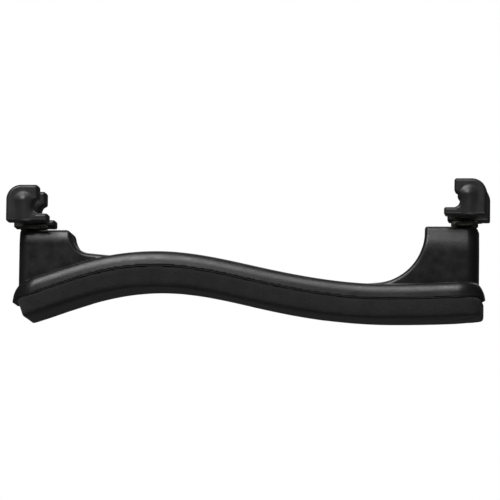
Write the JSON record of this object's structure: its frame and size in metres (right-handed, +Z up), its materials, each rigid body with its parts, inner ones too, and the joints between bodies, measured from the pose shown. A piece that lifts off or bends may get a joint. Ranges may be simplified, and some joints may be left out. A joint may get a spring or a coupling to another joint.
{
  "type": "violin shoulder rest",
  "caption": "Violin shoulder rest: a curved moulded bar with a foam pad, hollow end towers, and rubber-clawed feet that screw up and down and swivel.",
  "frame": {"origin": "under the middle of the part, level with the lowest line of the pad", "axes": "+X along the bar, with the raised shoulder of the curve towards -X; +Y across the bar; +Z up, towards the violin"},
  "size_m": [0.233, 0.04, 0.0679],
  "materials": {
    "moulded_plastic": "satin moulded black plastic",
    "foam": "matte black closed-cell foam",
    "adhesive": "thin black double-sided sheet",
    "brass": "turned and knurled",
    "plated_steel": "dull olive-grey plating, knurled rim",
    "steel": "black oxide",
    "nylon": "black nylon",
    "claw_rubber": "glossy moulded black rubber"
  },
  "bodies": {
    "root": {"chassis": "moulded_plastic", "foam_pad": "foam", "pad_adhesive": "adhesive", "left_insert_outer": "brass", "left_insert_inner": "brass", "right_insert_outer": "brass", "right_insert_inner": "brass"},
    "left_locknut": {"left_locknut": "plated_steel"},
    "left_washer": {"left_washer": "nylon"},
    "left_foot": {"left_screw": "steel", "left_fork": "steel", "left_claw_near": "claw_rubber", "left_claw_far": "claw_rubber"},
    "right_locknut": {"right_locknut": "plated_steel"},
    "right_washer": {"right_washer": "nylon"},
    "right_foot": {"right_screw": "steel", "right_fork": "steel", "right_claw_near": "claw_rubber", "right_claw_far": "claw_rubber"}
  },
  "joints": [
    {"name": "left_height", "type": "slide", "parent": "root", "child": "left_washer", "axis": [0, 0, 1], "range_m": [0, 0.00961]},
    {"name": "left_turn", "type": "hinge", "parent": "left_washer", "child": "left_foot", "pos_m": [-0.105, 0, 0.0437], "axis": [0, 0, 1], "range_deg": [0, 4320]},
    {"name": "left_lock", "type": "hinge", "parent": "root", "child": "left_locknut", "pos_m": [-0.105, 0, 0.0437], "axis": [0, 0, 1], "range_deg": [0, 90]},
    {"name": "right_height", "type": "slide", "parent": "root", "child": "right_washer", "axis": [0, 0, 1], "range_m": [-0.00121, 0.00841]},
    {"name": "right_turn", "type": "hinge", "parent": "right_washer", "child": "right_foot", "pos_m": [0.105, 0, 0.0457], "axis": [0, 0, 1], "range_deg": [-540, 3780]},
    {"name": "right_lock", "type": "hinge", "parent": "root", "child": "right_locknut", "pos_m": [0.105, 0, 0.0457], "axis": [0, 0, 1], "range_deg": [0, 90]}
  ],
  "couplings": [
    {"joint": "left_height", "follows": "left_turn", "m_per_rad": 0.00012732},
    {"joint": "right_height", "follows": "right_turn", "m_per_rad": 0.00012732}
  ]
}
